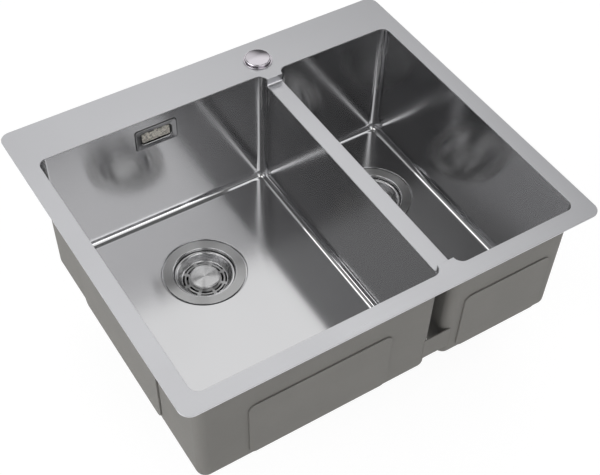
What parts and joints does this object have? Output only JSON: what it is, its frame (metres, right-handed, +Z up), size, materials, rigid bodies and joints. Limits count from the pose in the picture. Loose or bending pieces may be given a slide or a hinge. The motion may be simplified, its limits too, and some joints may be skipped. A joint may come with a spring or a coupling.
{
  "type": "inset kitchen sink",
  "caption": "Steel inset sink with a large bowl, a half bowl, a lowered divider, basket strainers, an overflow and a push button that lifts the main strainer.",
  "frame": {"origin": "centre of the flange outline, on the plane of the worktop that the seal rests on", "axes": "+X to the right along the front edge, +Y to the back, +Z up"},
  "size_m": [0.58, 0.5, 0.293],
  "materials": {
    "brushed_steel": "brushed",
    "bowl_steel": "brushed inside, grey undercoat outside",
    "strainer_steel": "turned",
    "polished_steel": "polished",
    "undercoat": "matte",
    "sound_pad": "matte",
    "rubber": "matte",
    "black_plastic": "moulded",
    "pale_plastic": "ribbed, translucent",
    "chrome": "polished",
    "brass": "turned"
  },
  "bodies": {
    "sink": {"deck": "brushed_steel", "main_bowl": "bowl_steel", "half_bowl": "bowl_steel", "divider_bridge": "brushed_steel", "front_brace": "undercoat", "rear_brace": "undercoat", "main_front_pad": "sound_pad", "main_left_pad": "sound_pad", "main_floor_pad": "sound_pad", "half_front_pad": "sound_pad", "half_right_pad": "sound_pad", "half_floor_pad": "sound_pad", "worktop_seal": "rubber", "overflow_bezel": "polished_steel", "overflow_insert": "pale_plastic", "overflow_gasket": "rubber", "overflow_housing": "black_plastic", "overflow_screws": "polished_steel", "main_strainer_flange": "strainer_steel", "main_flange_gasket": "rubber", "main_body_gasket": "rubber", "main_clamp_screws": "polished_steel", "main_waste_body": "black_plastic", "main_waste_spider": "black_plastic", "main_waste_funnel": "black_plastic", "half_strainer_flange": "strainer_steel", "half_flange_gasket": "rubber", "half_body_gasket": "rubber", "half_clamp_screws": "polished_steel", "half_waste_body": "black_plastic", "half_waste_spider": "black_plastic", "half_waste_funnel": "black_plastic", "waste_cable_arm": "black_plastic", "waste_cable_gland": "brass", "button_bezel": "chrome", "button_spring": "polished_steel", "button_seal": "rubber", "button_washer": "black_plastic", "button_back_nut": "brass", "button_cable_gland": "brass"},
    "button": {"button_cap": "chrome", "button_stem": "brass"},
    "lift_pin": {"lift_pin": "polished_steel"},
    "main_basket": {"main_basket": "strainer_steel", "main_basket_cap": "strainer_steel", "main_basket_seal": "rubber", "main_basket_post": "brass"},
    "half_basket": {"half_basket": "strainer_steel", "half_basket_cap": "strainer_steel", "half_basket_seal": "rubber", "half_basket_post": "brass"}
  },
  "joints": [
    {"name": "button_press", "type": "slide", "parent": "sink", "child": "button", "axis": [0, 0, -1], "range_m": [0, 0.004], "stiffness_N_per_m": 500, "springref_m": -0.004, "deforming": ["button_spring"]},
    {"name": "lift_pin_rise", "type": "slide", "parent": "sink", "child": "lift_pin", "axis": [0, 0, 1], "range_m": [0, 0.01]},
    {"name": "main_basket_liftout", "type": "slide", "parent": "lift_pin", "child": "main_basket", "axis": [0, 0, 1], "range_m": [0, 0.26]},
    {"name": "half_basket_liftout", "type": "slide", "parent": "sink", "child": "half_basket", "axis": [0, 0, 1], "range_m": [0, 0.26]}
  ],
  "couplings": [
    {"joint": "lift_pin_rise", "follows": "button_press", "ratio": 2.5}
  ]
}
